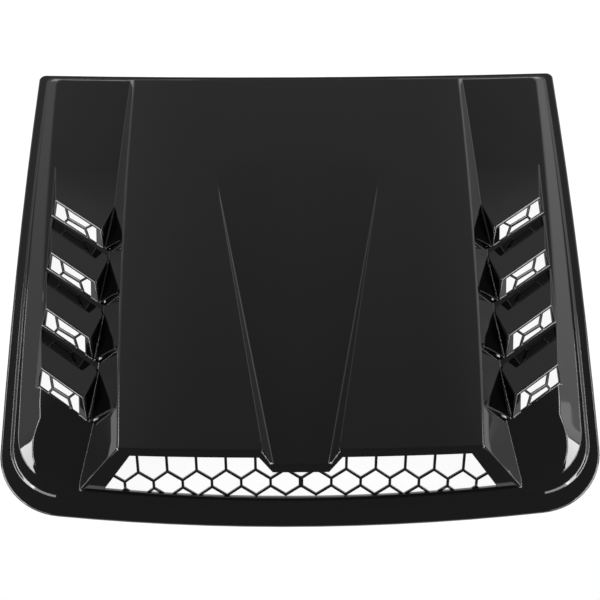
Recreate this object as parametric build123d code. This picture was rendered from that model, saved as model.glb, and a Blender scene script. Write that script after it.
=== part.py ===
from build123d import *
import math
import os

# Vent cover for a car bonnet: one moulding in gloss black ABS, about 3 mm thick.
# A flat flange runs round it. Inside the flange stand two low wings with four
# louvres each, and between them a raised panel that grows towards the front,
# where it ends in a honeycomb air intake. The underside is open.
# Frame: +X to the right, +Y towards the windscreen, +Z up, and the origin is at
# the centre of the flange's flat underside. All sizes are in millimetres.

# Shell
WALL = 3.0
SKIRT = 10.0
OVERLAP = 0.5

# Flange outline
LENGTH = 734.0
REAR_WIDTH = 788.0
MID_WIDTH = 777.5
FRONT_WIDTH = 746.0
REAR_HOLLOW = 6.0
FRONT_BOW = 25.0
REAR_CORNER_RADIUS = 10.0
FRONT_CORNER_RADIUS = 90.0
FLANGE_THICKNESS = 4.0
FLANGE_EDGE_RADIUS = 2.5

# Low step inside the flange
STEP_HEIGHT = 7.0
STEP_SIDE = 12.5
STEP_FRONT = 21.0
STEP_REAR = 6.5
STEP_SLOPE_RUN = 3.0
STEP_EDGE_RADIUS = 1.2

# Wings. The rear height holds at a setback from the rear edge, the fold and the nose lie at
# setbacks from the front edge.
WING_REAR_HEIGHT = 15.0
WING_FOLD_HEIGHT = 25.0
WING_REAR_SETBACK = 20.0
WING_FOLD_SETBACK = 137.0
WING_NOSE_SETBACK = 59.0
WING_FOOT_REAR_SIDE = 16.5
WING_FOOT_FRONT_SIDE = 22.0
WING_FOOT_REAR = 11.0
WING_FOOT_FRONT = 34.0
WING_SIDE_RUN = 1.5
WING_REAR_RUN = 1.1
WING_HEAD = 32.0
WING_SHOULDER_RADIUS = 7.0

# Raised centre panel. Its foot lies at setbacks from the flange's edges.
DOME_REAR_SETBACK = 15.0
DOME_FRONT_SETBACK = 22.0
DOME_SIDE_SETBACK_REAR = 130.0
DOME_SIDE_SETBACK_MID = 111.25
DOME_SIDE_SETBACK_FRONT = 95.0
DOME_REAR_RUN = 0.9
DOME_SIDE_LEAN = 40.0
PANEL_REAR_HEIGHT = 22.0
PANEL_FRONT_HEIGHT = 73.5
PANEL_REAR_CROWN = 4.0
PANEL_FRONT_CROWN = 6.0
PANEL_EDGE_RADIUS = 4.5
LIP_ZONE = 36.0

# Front face with the air intake
FACE_FOOT_SETBACK = 27.0
FACE_LEAN = 27.0
FACE_RADIUS = 2400.0
FACE_SWEEP = 24.0

# Channel down the middle of the panel. It starts at a setback from the rear edge.
CHANNEL_START_SETBACK = 207.0
CHANNEL_DEPTH = 20.0
CHANNEL_REAR_FLOOR = 238.0
CHANNEL_FRONT_FLOOR = 70.0
CHANNEL_SIDE_RUN = 0.5
CHANNEL_CORNER_RADIUS = 3.0

# Louvres, given for the right-hand wing. Their middle and their outer ends lie at setbacks from the
# flange's edge, and their inner ends run into the panel's side wall.
LOUVRES = 4
LOUVRE_FIRST_SETBACK = 305.5
LOUVRE_LAST_SETBACK = 163.0
LOUVRE_MIDDLE_SETBACK = 80.75
LOUVRE_OUTER_SETBACK = 46.0
LOUVRE_INNER_REACH = 11.0
LOUVRE_SKEW = 37.0
LOUVRE_FIRST_HEIGHT = 20.8
LOUVRE_LAST_HEIGHT = 23.6
LOUVRE_FACE_SLOPE = 0.66
LOUVRE_FLAT = 8.0
LOUVRE_EDGE_RADIUS = 2.0
LOUVRE_INNER_TURN = 0.10
LOUVRE_INNER_LEAN = 0.25
LOUVRE_OUTER_TURN = 0.031
LOUVRE_OUTER_LEAN = 0.41
LOUVRE_SINK = 8.0

# Openings in the louvres, with their mesh. The mesh's forks and ends are given as shares of the
# opening's length, from its outer end, and of its height.
LOUVRE_HOLE_BOTTOM = 0.8
LOUVRE_HOLE_HEAD_BORDER = 3.8
LOUVRE_HOLE_INNER_MARGIN = 15.0
LOUVRE_HOLE_OUTER_MARGIN = 5.0
LOUVRE_HOLE_INNER_SLANT = 0.36
LOUVRE_HOLE_OUTER_SLANT = 0.15
LOUVRE_CUT_MARGIN = 2.0
MESH_RIB = 3.2
MESH_MIDDLE_RIB = 4.0
MESH_RECESS = 0.8
MESH_OUTER_FORK = (0.31, 0.38)
MESH_OUTER_HEAD = 0.23
MESH_OUTER_FOOT = 0.235
MESH_INNER_FORK = (0.71, 0.46)
MESH_INNER_HEAD = 0.88
MESH_INNER_FOOT = 0.79

# Steps on the panel's side walls, one beside each louvre
SHINGLE_RISE = 4.0
SHINGLE_LEAD = 9.0
SHINGLE_SINK = 6.0
SHINGLE_DEPTH = 15.0

# Honeycomb
INTAKE_BOTTOM = 12.5
INTAKE_FOOT_MARGIN = 26.0
INTAKE_TOP_MARGIN = 18.0
INTAKE_LIP = 9.0
INTAKE_NOTCH_MARGIN = 1.0
INTAKE_NOTCH_SPREAD = 16.0
CELL_PITCH = 35.7
CELL_WALL_HEIGHT = 10.0
CELL_RISE = 12.6
CELL_RIB = 3.3
CELL_MIDDLE_RIB = 5.7
CELL_ROW_FOOT = 15.2
CELL_ROW_RADIUS = 1700.0
INTAKE_DRAW = 45.0
INTAKE_RECESS = 2.5
INTAKE_PLATE = 3.0

# Places worked out from these sizes
REAR_Y = LENGTH / 2
FRONT_Y = -LENGTH / 2
WING_REAR_Y = REAR_Y - WING_REAR_SETBACK
WING_FOLD_Y = FRONT_Y + WING_FOLD_SETBACK
WING_NOSE_Y = FRONT_Y + WING_NOSE_SETBACK
DOME_REAR_Y = REAR_Y - DOME_REAR_SETBACK
DOME_FRONT_Y = FRONT_Y + DOME_FRONT_SETBACK
DOME_REAR_BASE = REAR_WIDTH - 2 * DOME_SIDE_SETBACK_REAR
DOME_MID_BASE = MID_WIDTH - 2 * DOME_SIDE_SETBACK_MID
DOME_FRONT_BASE = FRONT_WIDTH - 2 * DOME_SIDE_SETBACK_FRONT
FACE_FOOT_Y = FRONT_Y + FACE_FOOT_SETBACK
CHANNEL_START_Y = REAR_Y - CHANNEL_START_SETBACK
LOUVRE_FIRST_Y = REAR_Y - LOUVRE_FIRST_SETBACK
LOUVRE_LAST_Y = FRONT_Y + LOUVRE_LAST_SETBACK
LOUVRE_PITCH = (LOUVRE_FIRST_Y - LOUVRE_LAST_Y) / (LOUVRES - 1)
LOUVRE_X = MID_WIDTH / 2 - LOUVRE_MIDDLE_SETBACK
LOUVRE_OUTER_X = MID_WIDTH / 2 - LOUVRE_OUTER_SETBACK
LOUVRE_INNER_X = DOME_MID_BASE / 2 - LOUVRE_INNER_REACH

# Other derived sizes. FAR is longer than anything that it has to cut.
SIDE_LEAN_RUN = math.tan(math.radians(DOME_SIDE_LEAN))
FACE_RUN = math.tan(math.radians(FACE_LEAN))
SKEW_COS = math.cos(math.radians(LOUVRE_SKEW))
SKEW_SIN = math.sin(math.radians(LOUVRE_SKEW))
FRONT_INSET = INTAKE_RECESS + INTAKE_PLATE
FAR = LENGTH + REAR_WIDTH
ABOVE = 2 * PANEL_FRONT_HEIGHT


def at_height(shape, z):
    return Pos(0, 0, z) * shape


def slope_length(run):
    """Length of a line that goes the given run sideways for each unit of height."""
    return math.hypot(1.0, run)


def plan_outline(side_rear, side_front, rear, front, rear_radius, front_radius):
    """Flange outline with its sides, rear and front moved in by the amounts given."""
    side_mid = (side_rear + side_front) / 2
    back = REAR_Y - rear
    nose = FRONT_Y + front
    rear_x = REAR_WIDTH / 2 - side_rear
    mid_x = MID_WIDTH / 2 - side_mid
    front_x = FRONT_WIDTH / 2 - side_front
    edges = [
        ThreePointArc((-rear_x, back), (0, back - REAR_HOLLOW), (rear_x, back)),
        ThreePointArc((rear_x, back), (mid_x, 0), (front_x, nose + FRONT_BOW)),
        ThreePointArc((front_x, nose + FRONT_BOW), (0, nose), (-front_x, nose + FRONT_BOW)),
        ThreePointArc((-front_x, nose + FRONT_BOW), (-mid_x, 0), (-rear_x, back)),
    ]
    face = make_face(edges)
    face = fillet(face.vertices().group_by(Axis.Y)[0], front_radius)
    return fillet(face.vertices().group_by(Axis.Y)[-1], rear_radius)


def side_profile(points):
    """Solid as wide as the cover, from its outline seen from the right-hand side."""
    return extrude(make_face(Plane.YZ * Polyline(*points, close=True)), FAR, both=True)


def flange():
    """Flat rim that lies on the bonnet, with a rounded upper edge."""
    plate = extrude(plan_outline(0, 0, 0, 0, REAR_CORNER_RADIUS, FRONT_CORNER_RADIUS), FLANGE_THICKNESS)
    return fillet(plate.edges().group_by(Axis.Z)[-1], FLANGE_EDGE_RADIUS)


def step_outline(inset):
    return plan_outline(
        STEP_SIDE + inset, STEP_SIDE + inset, STEP_REAR + inset, STEP_FRONT + inset,
        REAR_CORNER_RADIUS, FRONT_CORNER_RADIUS - STEP_SIDE - inset,
    )


def step(inset):
    """Low plateau inside the flange, with sloping sides."""
    foot = step_outline(inset)
    head = step_outline(inset + STEP_SLOPE_RUN)
    low = FLANGE_THICKNESS - inset
    slope = loft([at_height(foot, low), at_height(head, STEP_HEIGHT - inset)], ruled=True)
    if inset == 0:
        slope = fillet(slope.edges().group_by(Axis.Z)[-1], STEP_EDGE_RADIUS)
    return slope + at_height(extrude(foot, low + SKIRT), -SKIRT)


def wing_outline(height, inset):
    """Plan of the wings at a height above the step, set in by the wall where it is hollow."""
    side = WING_SIDE_RUN * height + inset * slope_length(WING_SIDE_RUN)
    rear = WING_REAR_RUN * height + inset * slope_length(WING_REAR_RUN)
    return plan_outline(
        WING_FOOT_REAR_SIDE + side, WING_FOOT_FRONT_SIDE + side,
        WING_FOOT_REAR + rear, WING_FOOT_FRONT + side,
        REAR_CORNER_RADIUS, FRONT_CORNER_RADIUS - STEP_SIDE - side,
    )


def wing_height(y):
    """Height of the wings' top surface behind the fold."""
    slope = (WING_FOLD_HEIGHT - WING_REAR_HEIGHT) / (WING_REAR_Y - WING_FOLD_Y)
    return WING_REAR_HEIGHT + slope * (WING_REAR_Y - y)


def wings(inset):
    """Both wings in one block: sloping sides, a top that rises forward to a fold and then dips."""
    low = STEP_HEIGHT - inset - OVERLAP
    foot = at_height(wing_outline(low - STEP_HEIGHT, inset), low)
    head = at_height(wing_outline(WING_HEAD - STEP_HEIGHT, inset), WING_HEAD)
    sides = loft([foot, head], ruled=True)
    dip = (WING_FOLD_HEIGHT - STEP_HEIGHT) / (WING_FOLD_Y - WING_NOSE_Y)
    top = [
        (REAR_Y, wing_height(REAR_Y) - inset),
        (WING_FOLD_Y, WING_FOLD_HEIGHT - inset),
        (FRONT_Y, WING_FOLD_HEIGHT - inset - dip * (WING_FOLD_Y - FRONT_Y)),
        (FRONT_Y, -FAR),
        (REAR_Y, -FAR),
    ]
    block = sides & side_profile(top)
    if inset == 0:
        tops = block.faces().sort_by(Axis.Z)[-2:]
        edges = tops[0].edges() + tops[1].edges()
        shoulder = [edge for edge in edges if abs(edge.center().X) > wall_base(edge.center().Y) / 2]
        block = fillet(shoulder, WING_SHOULDER_RADIUS)
    return block


def dome_section(y, base, edge_height, crown, inset):
    """Cross-section of the centre panel: leaning side walls under a crowned top."""
    half_base = base / 2 - inset * slope_length(SIDE_LEAN_RUN)
    top = edge_height - inset
    half_top = half_base - top * SIDE_LEAN_RUN
    half_skirt = half_base + SKIRT * SIDE_LEAN_RUN
    edges = [
        Line((-half_skirt, y, -SKIRT), (half_skirt, y, -SKIRT)),
        Line((half_skirt, y, -SKIRT), (half_top, y, top)),
        ThreePointArc((half_top, y, top), (0, y, top + crown), (-half_top, y, top)),
        Line((-half_top, y, top), (-half_skirt, y, -SKIRT)),
    ]
    return make_face(edges)


def panel_height(y):
    """Height of the panel's side edges."""
    share = (DOME_REAR_Y - y) / (DOME_REAR_Y - DOME_FRONT_Y)
    return PANEL_REAR_HEIGHT + share * (PANEL_FRONT_HEIGHT - PANEL_REAR_HEIGHT)


def wall_base(y):
    """Width of the panel between its side walls at the underside, by a parabola through three widths."""
    share = y / DOME_REAR_Y
    bow = (DOME_REAR_BASE + DOME_FRONT_BASE) / 2 - DOME_MID_BASE
    return DOME_MID_BASE + share * (DOME_REAR_BASE - DOME_FRONT_BASE) / 2 + share ** 2 * bow


def panel_crown(y):
    """How much higher the panel stands in the middle than at its side edges."""
    share = (DOME_REAR_Y - y) / (DOME_REAR_Y - DOME_FRONT_Y)
    return PANEL_REAR_CROWN + share * (PANEL_FRONT_CROWN - PANEL_REAR_CROWN)


def face_y(z, inset=0.0):
    """Where the front face stands at the middle of the cover, at a height."""
    return FACE_FOOT_Y + z * FACE_RUN + inset * slope_length(FACE_RUN)


def behind_front_face(inset):
    """Everything behind the curved, leaning front face, as part of a revolved cone."""
    centre_y = FACE_FOOT_Y + FACE_RADIUS
    profile = Polyline(
        (0, face_y(-SKIRT, inset), -SKIRT), (0, face_y(ABOVE, inset), ABOVE),
        (0, LENGTH, ABOVE), (0, LENGTH, -SKIRT), close=True,
    )
    axis = Axis((0, centre_y, 0), (0, 0, 1))
    turned = make_face(profile).rotate(axis, -FACE_SWEEP / 2)
    return revolve(turned, axis, FACE_SWEEP)


def channel_half_floor(y):
    """Half the width of the channel's floor, which narrows evenly towards the front."""
    share = (CHANNEL_START_Y - y) / (CHANNEL_START_Y - face_y(PANEL_FRONT_HEIGHT))
    return (CHANNEL_REAR_FLOOR + share * (CHANNEL_FRONT_FLOOR - CHANNEL_REAR_FLOOR)) / 2


def channel_floor(y):
    """Height of the channel's floor: level with the panel where it starts, full depth at the lip."""
    front_y = face_y(PANEL_FRONT_HEIGHT)
    start = panel_height(CHANNEL_START_Y) + panel_crown(CHANNEL_START_Y)
    end = panel_height(front_y) + panel_crown(front_y) - CHANNEL_DEPTH
    return start + (end - start) * (CHANNEL_START_Y - y) / (CHANNEL_START_Y - front_y)


def channel(inset):
    """Cutter for the channel, which starts level with the panel and narrows and deepens forward."""
    rise = 2 * CHANNEL_DEPTH
    rings = []
    for y in (CHANNEL_START_Y, DOME_FRONT_Y):
        low = channel_floor(y) - inset
        half = channel_half_floor(y) + inset * (slope_length(CHANNEL_SIDE_RUN) - CHANNEL_SIDE_RUN)
        spread = half + CHANNEL_SIDE_RUN * rise
        rings.append([(-half, y, low), (half, y, low), (spread, y, low + rise), (-spread, y, low + rise)])
    start, end = rings
    walls = [start, end]
    for corner in range(4):
        following = (corner + 1) % 4
        walls.append([start[corner], start[following], end[following], end[corner]])
    cutter = Solid(Shell([make_face(Polyline(*wall, close=True)) for wall in walls]))
    long_edges = cutter.edges().sort_by(SortBy.LENGTH)[-4:]
    return fillet(long_edges.sort_by(Axis.Z)[:2], CHANNEL_CORNER_RADIUS)


def panel_edges(block):
    """Convex edges of the panel: its two sides, the front corners, the lip and the channel's mouth."""
    lip_end = face_y(PANEL_FRONT_HEIGHT) + LIP_ZONE
    edges = []
    for edge in block.edges():
        middle = edge.center()
        along_side = abs(middle.X) > CHANNEL_REAR_FLOOR / 2 and middle.Y < CHANNEL_START_Y
        if middle.Z > STEP_HEIGHT and (along_side or middle.Y < lip_end):
            edges.append(edge)
    return edges


def dome(inset, front_inset):
    """Raised centre panel with its channel, cut off by the front face and the rear slope."""
    sections = [
        dome_section(DOME_REAR_Y, DOME_REAR_BASE, PANEL_REAR_HEIGHT, PANEL_REAR_CROWN, inset),
        dome_section(0, DOME_MID_BASE, panel_height(0), panel_crown(0), inset),
        dome_section(DOME_FRONT_Y, DOME_FRONT_BASE, PANEL_FRONT_HEIGHT, PANEL_FRONT_CROWN, inset),
    ]
    block = loft(sections)
    rear = DOME_REAR_Y - inset * slope_length(DOME_REAR_RUN)
    keep = side_profile([
        (rear + DOME_REAR_RUN * (STEP_HEIGHT + SKIRT), -SKIRT),
        (rear + DOME_REAR_RUN * (STEP_HEIGHT - ABOVE), ABOVE),
        (-FAR, ABOVE), (-FAR, -SKIRT),
    ])
    block = block & keep
    block = block & behind_front_face(front_inset)
    block = block - channel(inset)
    if inset == 0:
        block = fillet(panel_edges(block), PANEL_EDGE_RADIUS)
    return block


def louvre_y(index):
    """Where a louvre's foot line crosses LOUVRE_X."""
    return LOUVRE_FIRST_Y - index * LOUVRE_PITCH


def louvre_height(index):
    """How high a louvre's lip stands over the wing; the louvres grow towards the front."""
    return LOUVRE_FIRST_HEIGHT + index * (LOUVRE_LAST_HEIGHT - LOUVRE_FIRST_HEIGHT) / (LOUVRES - 1)


def louvre_plane(index):
    """Upright plane across a louvre, with x square to its lip towards the front and y up."""
    y = louvre_y(index)
    foot = (LOUVRE_X, y, wing_height(y))
    return Plane(origin=foot, x_dir=(SKEW_SIN, -SKEW_COS, 0), z_dir=(-SKEW_COS, -SKEW_SIN, 0))


def louvre(index, inset):
    """Wedge of one right-hand louvre: a ramp that rises forward to a lip over a leaning face."""
    height = louvre_height(index)
    ramp_slope = (LOUVRE_PITCH * SKEW_COS - LOUVRE_FLAT) / height - LOUVRE_FACE_SLOPE
    sink = LOUVRE_SINK + inset
    face_back = inset * slope_length(LOUVRE_FACE_SLOPE)
    ramp_down = inset * slope_length(1 / ramp_slope)
    # The lip of the hollow is where the ramp and the face, both moved in by the wall, meet.
    lip_z = height - (ramp_down + face_back / ramp_slope) / (1 + LOUVRE_FACE_SLOPE / ramp_slope)
    lip_x = -lip_z * LOUVRE_FACE_SLOPE - face_back
    triangle = [
        (lip_x, lip_z),
        (lip_x + (lip_z + sink) * LOUVRE_FACE_SLOPE, -sink),
        (lip_x - (lip_z + sink) * ramp_slope, -sink),
    ]
    profile = louvre_plane(index) * make_face(Polyline(*triangle, close=True))
    wedge = extrude(profile, 2 * LOUVRE_PITCH, both=True)
    y = louvre_y(index)
    top = wing_height(y)
    inner_normal = Vector(1, LOUVRE_INNER_TURN, -LOUVRE_INNER_LEAN).normalized()
    outer_normal = Vector(-1, LOUVRE_OUTER_TURN, -LOUVRE_OUTER_LEAN).normalized()
    inner_y = y + (LOUVRE_INNER_X - LOUVRE_X) * SKEW_SIN / SKEW_COS
    inner = Plane(origin=Vector(LOUVRE_INNER_X, inner_y, top) + inner_normal * inset, z_dir=inner_normal)
    outer = Plane(origin=Vector(LOUVRE_OUTER_X, 0, top) + outer_normal * inset, z_dir=outer_normal)
    wedge = split(wedge, bisect_by=inner, keep=Keep.TOP)
    wedge = split(wedge, bisect_by=outer, keep=Keep.TOP)
    if inset == 0:
        lip = wedge.edges().sort_by(Axis.Z)[-1]
        face_sides = wedge.edges().sort_by(SortBy.LENGTH)[:2]
        wedge = fillet([lip, *face_sides], LOUVRE_EDGE_RADIUS)
    return wedge


def louvre_face_plane(index):
    """Plane of a louvre's face: x runs outwards along the foot, y up the face."""
    y = louvre_y(index)
    up = Vector(-LOUVRE_FACE_SLOPE * SKEW_SIN, LOUVRE_FACE_SLOPE * SKEW_COS, 1)
    along = Vector(SKEW_COS, SKEW_SIN, 0)
    return Plane(origin=(LOUVRE_X, y, wing_height(y)), x_dir=along, z_dir=along.cross(up))


def rib(start, end, width):
    """Straight rib between two points, as a flat strip with round ends."""
    middle = (Vector(*start) + Vector(*end)) / 2
    run = Vector(*end) - Vector(*start)
    angle = math.degrees(math.atan2(run.Y, run.X))
    return Pos(middle.X, middle.Y) * Rot(0, 0, angle) * SlotCenterToCenter(run.length, width)


def louvre_hole(index):
    """Outline of a louvre's opening, in the plane of its face."""
    turn = LOUVRE_OUTER_TURN * (louvre_y(index) + (LOUVRE_OUTER_X - LOUVRE_X) * SKEW_SIN / SKEW_COS)
    inner_foot = (LOUVRE_INNER_X - LOUVRE_X) / SKEW_COS + LOUVRE_HOLE_INNER_MARGIN
    outer_foot = (LOUVRE_OUTER_X + turn - LOUVRE_X) / SKEW_COS - LOUVRE_HOLE_OUTER_MARGIN
    low = LOUVRE_HOLE_BOTTOM
    high = louvre_height(index) * slope_length(LOUVRE_FACE_SLOPE) - LOUVRE_HOLE_HEAD_BORDER
    return [
        (inner_foot + LOUVRE_HOLE_INNER_SLANT * low, low),
        (outer_foot + LOUVRE_HOLE_OUTER_SLANT * low, low),
        (outer_foot + LOUVRE_HOLE_OUTER_SLANT * high, high),
        (inner_foot + LOUVRE_HOLE_INNER_SLANT * high, high),
    ]


def louvre_mesh(index):
    """Mesh in a louvre's opening: a rib along it that forks at both ends."""
    inner_low, outer_low, outer_high, inner_high = louvre_hole(index)

    def at(share, height):
        low = outer_low[0] + share * (inner_low[0] - outer_low[0])
        high = outer_high[0] + share * (inner_high[0] - outer_high[0])
        return (low + height * (high - low), outer_low[1] + height * (outer_high[1] - outer_low[1]))

    ribs = [rib(at(*MESH_OUTER_FORK), at(*MESH_INNER_FORK), MESH_MIDDLE_RIB)]
    forks = (
        (MESH_OUTER_FORK, MESH_OUTER_HEAD, MESH_OUTER_FOOT),
        (MESH_INNER_FORK, MESH_INNER_HEAD, MESH_INNER_FOOT),
    )
    for fork, head, foot in forks:
        ribs.append(rib(at(*fork), at(head, 1.0), MESH_RIB))
        ribs.append(rib(at(*fork), at(foot, 0.0), MESH_RIB))
    return Sketch() + ribs


def louvre_cut(index):
    """What is cut out of a louvre's face: a shallow recess and the gaps of the mesh."""
    hole = make_face(Polyline(*louvre_hole(index), close=True))
    face = louvre_face_plane(index)
    gaps = hole - louvre_mesh(index)
    outside = WALL / 2
    cut = extrude(face.offset(outside) * gaps, -(outside + WALL + LOUVRE_CUT_MARGIN))
    return cut + extrude(face.offset(outside) * hole, -(outside + MESH_RECESS))


def shingle(index, inset):
    """Triangular facet that lifts out of the right side wall and ends in a step beside a louvre."""
    inner_y = louvre_y(index) + (LOUVRE_INNER_X - LOUVRE_X) * SKEW_SIN / SKEW_COS
    start_y = inner_y + LOUVRE_PITCH - SHINGLE_LEAD

    def on_wall(y, z, out):
        half_base = wall_base(y) / 2
        return Vector(half_base - z * SIDE_LEAN_RUN + out, y, z + out * SIDE_LEAN_RUN)

    base_z = wing_height(inner_y) - SHINGLE_SINK
    top_z = panel_height(inner_y) - PANEL_EDGE_RADIUS
    start = on_wall(start_y, wing_height(start_y) - SHINGLE_SINK, -inset)
    foot = on_wall(inner_y, base_z, SHINGLE_RISE - inset)
    head = on_wall(inner_y, top_z, -inset)
    inside = on_wall((start_y + inner_y) / 2, (base_z + top_z) / 2, -SHINGLE_DEPTH - inset)
    faces = []
    for corners in ((start, foot, head), (start, inside, foot), (foot, inside, head), (head, inside, start)):
        faces.append(make_face(Polyline(*corners, close=True)))
    return Solid(Shell(faces))


def panel_top(x, y):
    """Height of the panel's crowned top, outside the channel."""
    half_top = wall_base(y) / 2 - panel_height(y) * SIDE_LEAN_RUN
    return panel_height(y) + panel_crown(y) * (1 - (x / half_top) ** 2)


def intake_point(x, z):
    """Point of the curved front face, projected along the draw of the intake onto a flat sketch."""
    centre_y = FACE_FOOT_Y + FACE_RADIUS
    y = centre_y - math.sqrt((FACE_RADIUS - z * FACE_RUN) ** 2 - x ** 2)
    draw = math.radians(INTAKE_DRAW)
    return (x, y * math.sin(draw) + z * math.cos(draw))


def intake_plane():
    """Plane square to the draw of the intake, inside the cover behind its front face."""
    draw = math.radians(INTAKE_DRAW)
    outward = Vector(0, -math.cos(draw), math.sin(draw))
    behind = -FACE_FOOT_Y * math.cos(draw) - FACE_RUN * PANEL_FRONT_HEIGHT
    return Plane(origin=outward * behind, x_dir=(1, 0, 0), z_dir=outward)


def intake_half_width(z, margin):
    """Half the width of the intake at a height, a margin inside the panel's side walls."""
    return DOME_FRONT_BASE / 2 - z * SIDE_LEAN_RUN - margin


def intake_outline():
    """Outline of the air intake: foot, slanting ends, and a top that follows the lip and the channel."""
    foot_x = intake_half_width(INTAKE_BOTTOM, INTAKE_FOOT_MARGIN)
    top_x = intake_half_width(PANEL_FRONT_HEIGHT - INTAKE_LIP, INTAKE_TOP_MARGIN)
    floor_x = CHANNEL_FRONT_FLOOR / 2 - INTAKE_NOTCH_MARGIN
    notch_x = floor_x + INTAKE_NOTCH_SPREAD
    lip_y = face_y(PANEL_FRONT_HEIGHT)

    def lip(x):
        return intake_point(x, panel_top(abs(x), lip_y) - INTAKE_LIP)

    floor_z = panel_top(0, lip_y) - CHANNEL_DEPTH - INTAKE_LIP
    foot = [intake_point(x, INTAKE_BOTTOM) for x in (-foot_x, 0, foot_x)]
    edges = [ThreePointArc(*foot)]
    for side in (1, -1):
        edges += [
            Line(intake_point(side * foot_x, INTAKE_BOTTOM), lip(side * top_x)),
            ThreePointArc(lip(side * top_x), lip(side * (top_x + notch_x) / 2), lip(side * notch_x)),
            Line(lip(side * notch_x), intake_point(side * floor_x, floor_z)),
        ]
    edges.append(Line(intake_point(-floor_x, floor_z), intake_point(floor_x, floor_z)))
    return make_face(edges)


def honeycomb():
    """Ribs of the honeycomb, whose rows sag towards the ends; the rib in the middle is wider."""
    def row_point(x, z):
        return intake_point(x, z - x ** 2 / (2 * CELL_ROW_RADIUS))

    foot = CELL_ROW_FOOT
    wall_low = foot + CELL_RISE
    wall_high = wall_low + CELL_WALL_HEIGHT
    peak = wall_high + CELL_RISE
    ribs = [rib(row_point(0, wall_low), row_point(0, wall_high), CELL_MIDDLE_RIB)]
    widening = (CELL_MIDDLE_RIB - CELL_RIB) / 2
    count = math.ceil(intake_half_width(INTAKE_BOTTOM, INTAKE_FOOT_MARGIN) / CELL_PITCH) + 1
    for side in (1, -1):
        for column in range(count):
            near = column * CELL_PITCH + (widening if column > 0 else 0)
            far = (column + 1) * CELL_PITCH + widening
            middle = (near + far) / 2
            lines = [
                ((near, wall_low), (middle, foot)),
                ((middle, foot), (far, wall_low)),
                ((far, wall_low), (far, wall_high)),
                ((near, wall_high), (middle, peak)),
                ((middle, peak), (far, wall_high)),
                ((middle, peak), (middle, peak + 2 * CELL_RISE)),
            ]
            for (x1, z1), (x2, z2) in lines:
                ribs.append(rib(row_point(side * x1, z1), row_point(side * x2, z2), CELL_RIB))
    return Sketch() + ribs


def intake_cuts():
    """What is cut out of the front face: a recess over the whole intake, and the cells through it."""
    plane = intake_plane()
    outline = intake_outline()
    cells = extrude(plane * (outline - honeycomb()), ABOVE)
    recess = extrude(plane * outline, ABOVE) - behind_front_face(INTAKE_RECESS)
    return [cells, recess]


def form(inset):
    """Whole outer form of the cover, or its hollow when an inset is given."""
    body = step(inset)
    if inset == 0:
        body += flange()
    body += wings(inset)
    body += dome(inset, FRONT_INSET if inset > 0 else 0)
    for make in (louvre, shingle):
        right = [make(index, inset) for index in range(LOUVRES)]
        body += right + [mirror(piece, about=Plane.YZ) for piece in right]
    return body


def vent_cover():
    """The cover: outer form above the bonnet, less its hollow, the louvre openings and the intake."""
    cover = split(form(0), bisect_by=Plane.XY, keep=Keep.TOP) - form(WALL)
    for index in range(LOUVRES):
        cut = louvre_cut(index)
        cover -= [cut, mirror(cut, about=Plane.YZ)]
    return cover - intake_cuts()


os.makedirs("parts", exist_ok=True)
export_step(vent_cover(), "parts/vent_cover.step")
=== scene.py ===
import math

import bmesh
import bpy
from mathutils import Matrix, Vector


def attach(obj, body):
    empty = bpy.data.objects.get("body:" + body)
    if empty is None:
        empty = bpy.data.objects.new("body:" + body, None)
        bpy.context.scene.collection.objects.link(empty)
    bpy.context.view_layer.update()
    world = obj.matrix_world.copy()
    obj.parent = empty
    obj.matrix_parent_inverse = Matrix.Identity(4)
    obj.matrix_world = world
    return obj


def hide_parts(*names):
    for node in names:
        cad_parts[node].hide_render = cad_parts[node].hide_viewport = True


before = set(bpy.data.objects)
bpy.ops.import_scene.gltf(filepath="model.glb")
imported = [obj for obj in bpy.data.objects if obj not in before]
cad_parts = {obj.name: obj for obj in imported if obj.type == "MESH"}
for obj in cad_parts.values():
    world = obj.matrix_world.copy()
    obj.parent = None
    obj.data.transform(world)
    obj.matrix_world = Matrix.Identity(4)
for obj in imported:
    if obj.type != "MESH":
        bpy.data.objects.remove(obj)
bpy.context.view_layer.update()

MM = 0.001
WHITE = (1.0, 1.0, 1.0, 1.0)

# The photo's view: how high the camera stands, how far it is from the point that it looks at, its
# focal length in pixels of the photo, and where that point lies in the photo.
PHOTO_SIZE = 600
VIEW_ELEVATION = math.radians(58.0)
VIEW_DISTANCE = 1632 * MM
FOCAL_PIXELS = 1200
SENSOR_WIDTH = 36.0
AIM = Vector((0.0, -42 * MM, 0.0))
AIM_PIXEL = (298.8, 300.5)
VIEW_TURN = math.radians(0.78)
VIEW_ROLL = math.radians(0.305)

# White paper under the cover: left, front, right and back edges, just below the flange. It ends close
# in front of the cover, so that the intake's face reflects the dark studio and not the paper.
PAPER = (-620 * MM, -385 * MM, 620 * MM, 720 * MM)
PAPER_HEIGHT = -0.2 * MM
PAPER_COLOUR = "#f0f0f0"
PAPER_GLOW = 0.93
PAPER_SHADOW_COLOUR = (0.14, 0.14, 0.14, 1.0)

# Surround of the studio: an even dark, with glows. A glow is a direction in degrees (round from +Y
# towards +X, and up), a half-width in degrees and a strength.
STUDIO_DARK = 0.15
STUDIO_GLOWS = (
    ((0.0, 12.0), 60.0, 0.2),
    ((57.0, 24.0), 42.0, 1.0),
    ((-56.0, 28.0), 42.0, 0.5),
)

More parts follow.
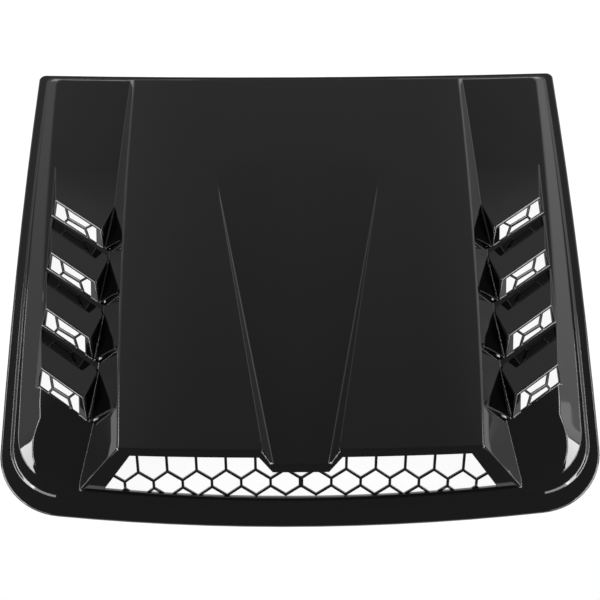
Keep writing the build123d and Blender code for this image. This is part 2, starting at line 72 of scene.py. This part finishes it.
# Softboxes: a name, a place and a size in metres, a tilt in degrees and the radiance of the surface.
SOFTBOXES = (
    ("softbox_left", (-2.6, -0.70, 0.95), (1.9, 1.1), 6.0, 11.0),
    ("softbox_right", (2.6, -0.70, 0.95), (1.9, 1.1), -6.0, 11.0),
    ("softbox_right_back", (2.6, 0.55, 0.98), (0.6, 0.9), -6.0, 1.1),
    ("softbox_left_high", (-1.75, 0.35, 1.95), (2.2, 0.42), -15.0, 8.0),
    ("softbox_right_high", (1.75, 0.25, 1.95), (2.0, 0.42), 12.0, 8.0),
    ("softbox_left_front", (-2.0, -2.0, 0.75), (1.5, 0.9), 0.0, 4.5),
    ("softbox_right_front", (2.0, -2.0, 0.75), (1.5, 0.9), 0.0, 4.5),
)

# Smooth shading of the moulding: edges that turn less than the crease angle are smoothed over.
MERGE_DISTANCE = 0.002 * MM
CREASE_ANGLE = math.radians(22.5)
FACE_WEIGHT = 80

# The moulding's edges look rounded by this radius, and the thin ribs of the intake by a smaller one.
EDGE_ROUNDING = 2.0 * MM
RIB_ROUNDING = 0.7 * MM
ROUNDING_SAMPLES = 12
INTAKE_HALF_WIDTH = 243 * MM
INTAKE_BACK = -288 * MM
INTAKE_FOOT = 10 * MM

# Gloss black ABS. Its usual index is 1.53, and the photo's reflections ask for a little more.
ABS_COLOUR = "#060607"
ABS_INDEX = 1.6
ABS_ROUGHNESS = (0.02, 0.04)
GLOSS_PATCH = 30 * MM
GLOSS_DETAIL = 3.0
FLOW_WAVE = 14 * MM
FLOW_WAVE_HEIGHT = 0.02 * MM
FLOW_WAVE_STRENGTH = 0.02
FLOW_DETAIL = 1.0


def node(tree, kind, settings=None, links=None):
    """Adds a node, with settings for its properties and sockets, and links from other nodes' outputs."""
    made = tree.nodes.new(kind)
    for key, value in (settings or {}).items():
        if isinstance(key, int) or key in made.inputs.keys():
            made.inputs[key].default_value = value
        else:
            setattr(made, key, value)
    for key, output in (links or {}).items():
        tree.links.new(output, made.inputs[key])
    return made


def linear(hex_colour):
    """Linear colour of an sRGB hex value, with full alpha."""
    channels = [int(hex_colour[i:i + 2], 16) / 255 for i in (1, 3, 5)]
    return tuple(c / 12.92 if c <= 0.04045 else ((c + 0.055) / 1.055) ** 2.4 for c in channels) + (1.0,)


def new_material(name):
    """Material with an empty node tree."""
    material = bpy.data.materials.new(name)
    material.use_nodes = True
    material.node_tree.nodes.clear()
    return material


def intake_mask(tree, place):
    """One on the intake's honeycomb and zero elsewhere.

    The intake is where the distance from the middle is under its half-width, in front of its back
    edge and above its foot, so the mask is the product of three comparisons.
    """
    axes = node(tree, "ShaderNodeSeparateXYZ", links={"Vector": place})
    across = node(tree, "ShaderNodeMath", {"operation": "ABSOLUTE"}, {0: axes.outputs["X"]})
    inside = node(
        tree, "ShaderNodeMath", {"operation": "LESS_THAN", 1: INTAKE_HALF_WIDTH}, {0: across.outputs[0]},
    )
    front = node(
        tree, "ShaderNodeMath", {"operation": "LESS_THAN", 1: INTAKE_BACK}, {0: axes.outputs["Y"]},
    )
    above = node(
        tree, "ShaderNodeMath", {"operation": "GREATER_THAN", 1: INTAKE_FOOT}, {0: axes.outputs["Z"]},
    )
    both = node(
        tree, "ShaderNodeMath", {"operation": "MULTIPLY"}, {0: inside.outputs[0], 1: front.outputs[0]},
    )
    return node(
        tree, "ShaderNodeMath", {"operation": "MULTIPLY"}, {0: both.outputs[0], 1: above.outputs[0]},
    ).outputs[0]


def gloss_black_abs():
    """Piano-black ABS, injection moulded in a polished tool: deep black with a mirror-like skin.

    The flow and cooling of the plastic leave a very faint waviness in the skin, which bends long
    reflections slightly, and patches of slightly different gloss, which soften them here and there.
    Every moulded edge is a little round, so it catches a thin line of light.
    """
    material = new_material("gloss_black_abs_moulded")
    tree = material.node_tree
    place = node(tree, "ShaderNodeTexCoord").outputs["Object"]
    flow = node(
        tree, "ShaderNodeTexNoise", {"Scale": 1 / FLOW_WAVE, "Detail": FLOW_DETAIL}, {"Vector": place},
    )
    rounding = node(
        tree, "ShaderNodeMapRange", {"To Min": EDGE_ROUNDING, "To Max": RIB_ROUNDING},
        {"Value": intake_mask(tree, place)},
    )
    edge = node(
        tree, "ShaderNodeBevel", {"samples": ROUNDING_SAMPLES}, {"Radius": rounding.outputs["Result"]},
    )
    skin = node(
        tree, "ShaderNodeBump", {"Strength": FLOW_WAVE_STRENGTH, "Distance": FLOW_WAVE_HEIGHT},
        {"Height": flow.outputs["Fac"], "Normal": edge.outputs["Normal"]},
    )
    gloss = node(
        tree, "ShaderNodeTexNoise", {"Scale": 1 / GLOSS_PATCH, "Detail": GLOSS_DETAIL}, {"Vector": place},
    )
    smoothest, roughest = ABS_ROUGHNESS
    roughness = node(
        tree, "ShaderNodeMapRange", {"To Min": smoothest, "To Max": roughest},
        {"Value": gloss.outputs["Fac"]},
    )
    plastic = node(
        tree, "ShaderNodeBsdfPrincipled", {"Base Color": linear(ABS_COLOUR), "IOR": ABS_INDEX},
        {"Roughness": roughness.outputs["Result"], "Normal": skin.outputs["Normal"]},
    )
    node(tree, "ShaderNodeOutputMaterial", links={"Surface": plastic.outputs["BSDF"]})
    return material


def merged_copy(source, name):
    """Copy of a CAD node's mesh with its face borders joined, so that rounded edges shade smoothly.

    An edge stays smooth where its two faces turn by less than the crease angle, and each corner's
    normal leans towards the larger faces, so flat walls reflect as flat.
    """
    mesh = bpy.data.meshes.new(name)
    work = bmesh.new()
    work.from_mesh(source.data)
    bmesh.ops.remove_doubles(work, verts=work.verts, dist=MERGE_DISTANCE)
    bmesh.ops.dissolve_degenerate(work, edges=work.edges, dist=MERGE_DISTANCE)
    for face in work.faces:
        face.smooth = True
    for edge in work.edges:
        edge.smooth = len(edge.link_faces) == 2 and edge.calc_face_angle(0.0) < CREASE_ANGLE
    work.to_mesh(mesh)
    work.free()
    copy = bpy.data.objects.new(name, mesh)
    bpy.context.scene.collection.objects.link(copy)
    weighting = copy.modifiers.new("weighted_normals", "WEIGHTED_NORMAL")
    weighting.keep_sharp = True
    weighting.weight = FACE_WEIGHT
    weighting.mode = "FACE_AREA_WITH_ANGLE"
    return copy


def vent_cover():
    """The one-piece cover: flange, wings with louvres, raised panel with its channel, and intake."""
    cover = merged_copy(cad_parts["vent_cover"], "moulded_vent_cover")
    cover.data.materials.append(gloss_black_abs())
    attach(cover, "root")
    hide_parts("vent_cover")


def white_paper():
    """Plain white paper. To the camera and in reflections it is white, less a faint shadow."""
    material = new_material("floor_paper")
    tree = material.node_tree
    path = node(tree, "ShaderNodeLightPath")
    seen = node(
        tree, "ShaderNodeMath", {"operation": "MAXIMUM"},
        {0: path.outputs["Is Camera Ray"], 1: path.outputs["Is Glossy Ray"]},
    )
    seen = node(
        tree, "ShaderNodeMath", {"operation": "MAXIMUM"},
        {0: seen.outputs[0], 1: path.outputs["Is Transmission Ray"]},
    )
    bright = node(tree, "ShaderNodeEmission", {"Color": WHITE, "Strength": PAPER_GLOW})
    paper = node(tree, "ShaderNodeBsdfDiffuse", {"Color": linear(PAPER_COLOUR)})
    shadow = node(tree, "ShaderNodeBsdfDiffuse", {"Color": PAPER_SHADOW_COLOUR})
    white = node(tree, "ShaderNodeAddShader", links={0: bright.outputs[0], 1: shadow.outputs[0]})
    mix = node(
        tree, "ShaderNodeMixShader",
        links={0: seen.outputs[0], 1: paper.outputs[0], 2: white.outputs[0]},
    )
    node(tree, "ShaderNodeOutputMaterial", links={"Surface": mix.outputs[0]})
    return material


def floor():
    """Flat sheet of paper on which the cover lies."""
    left, front, right, back = PAPER
    mesh = bpy.data.meshes.new("floor")
    corners = [(left, front), (right, front), (right, back), (left, back)]
    mesh.from_pydata([(x, y, PAPER_HEIGHT) for x, y in corners], [], [(0, 1, 2, 3)])
    mesh.materials.append(white_paper())
    plane = bpy.data.objects.new("floor", mesh)
    bpy.context.scene.collection.objects.link(plane)


def softbox(name, place, size, tilt, radiance):
    """Rectangular lamp that faces the middle of the cover, turned in its own plane by the tilt.

    Its power is the radiance times pi times its area.
    """
    lamp = bpy.data.lights.new(name, "AREA")
    lamp.shape = "RECTANGLE"
    lamp.size, lamp.size_y = size
    lamp.energy = radiance * math.pi * size[0] * size[1]
    lamp_object = bpy.data.objects.new(name, lamp)
    facing = (-Vector(place)).to_track_quat("-Z", "Y").to_matrix().to_4x4()
    lamp_object.matrix_world = Matrix.Translation(place) @ facing @ Matrix.Rotation(tilt, 4, "Z")
    bpy.context.scene.collection.objects.link(lamp_object)


def direction(azimuth, elevation):
    """Unit vector from degrees round from +Y towards +X and degrees up."""
    azimuth, elevation = math.radians(azimuth), math.radians(elevation)
    flat = math.cos(elevation)
    return (flat * math.sin(azimuth), flat * math.cos(azimuth), math.sin(elevation))


def glow(tree, towards, half_width, strength):
    """Soft round glow of the surround: full strength in one direction, fading to none at the half-width.

    The cosine of the angle from that direction goes through a smooth step, which starts at the
    cosine of the half-width.
    """
    place = node(tree, "ShaderNodeTexCoord")
    along = node(
        tree, "ShaderNodeVectorMath", {"operation": "DOT_PRODUCT", 1: towards},
        {0: place.outputs["Generated"]},
    )
    edge = math.cos(math.radians(half_width))
    return node(
        tree, "ShaderNodeMapRange",
        {"interpolation_type": "SMOOTHSTEP", "From Min": edge, "To Max": strength},
        {"Value": along.outputs["Value"]},
    ).outputs["Result"]


def surround():
    """World of the studio: the dark plus the glows, and plain white where the camera sees it."""
    world = bpy.data.worlds.new("studio")
    bpy.context.scene.world = world
    world.use_nodes = True
    tree = world.node_tree
    tree.nodes.clear()
    total = node(tree, "ShaderNodeValue").outputs[0]
    total.default_value = STUDIO_DARK
    for towards, half_width, strength in STUDIO_GLOWS:
        part = glow(tree, direction(*towards), half_width, strength)
        total = node(tree, "ShaderNodeMath", links={0: total, 1: part}).outputs[0]
    dim = node(tree, "ShaderNodeBackground", {"Color": WHITE}, {"Strength": total})
    path = node(tree, "ShaderNodeLightPath")
    white = node(tree, "ShaderNodeBackground", {"Color": WHITE, "Strength": 1.0})
    mix = node(
        tree, "ShaderNodeMixShader",
        links={0: path.outputs["Is Camera Ray"], 1: dim.outputs[0], 2: white.outputs[0]},
    )
    node(tree, "ShaderNodeOutputWorld", links={"Surface": mix.outputs[0]})


def studio():
    """Soft studio light: a dim surround, and softboxes low and high at each side and at the front corners."""
    surround()
    for name, place, size, tilt, radiance in SOFTBOXES:
        softbox(name, place, size, math.radians(tilt), radiance)


def photo_camera():
    """Camera at the photo's angle: it looks down along +Y, a little turned and rolled as in the photo."""
    data = bpy.data.cameras.new("photo_camera")
    data.sensor_width = SENSOR_WIDTH
    data.lens = SENSOR_WIDTH * FOCAL_PIXELS / PHOTO_SIZE
    data.shift_x = (PHOTO_SIZE / 2 - AIM_PIXEL[0]) / PHOTO_SIZE
    data.shift_y = (AIM_PIXEL[1] - PHOTO_SIZE / 2) / PHOTO_SIZE
    camera = bpy.data.objects.new("photo_camera", data)
    turn = Matrix.Rotation(-VIEW_TURN, 4, "Z")
    tilt = Matrix.Rotation(math.pi / 2 - VIEW_ELEVATION, 4, "X")
    roll = Matrix.Rotation(VIEW_ROLL, 4, "Z")
    back = Matrix.Translation((0.0, 0.0, VIEW_DISTANCE))
    camera.matrix_world = Matrix.Translation(AIM) @ turn @ tilt @ roll @ back
    bpy.context.scene.collection.objects.link(camera)
    bpy.context.scene.camera = camera


photo_camera()
studio()
floor()
vent_cover()

bpy.context.scene.view_settings.view_transform = "Standard"
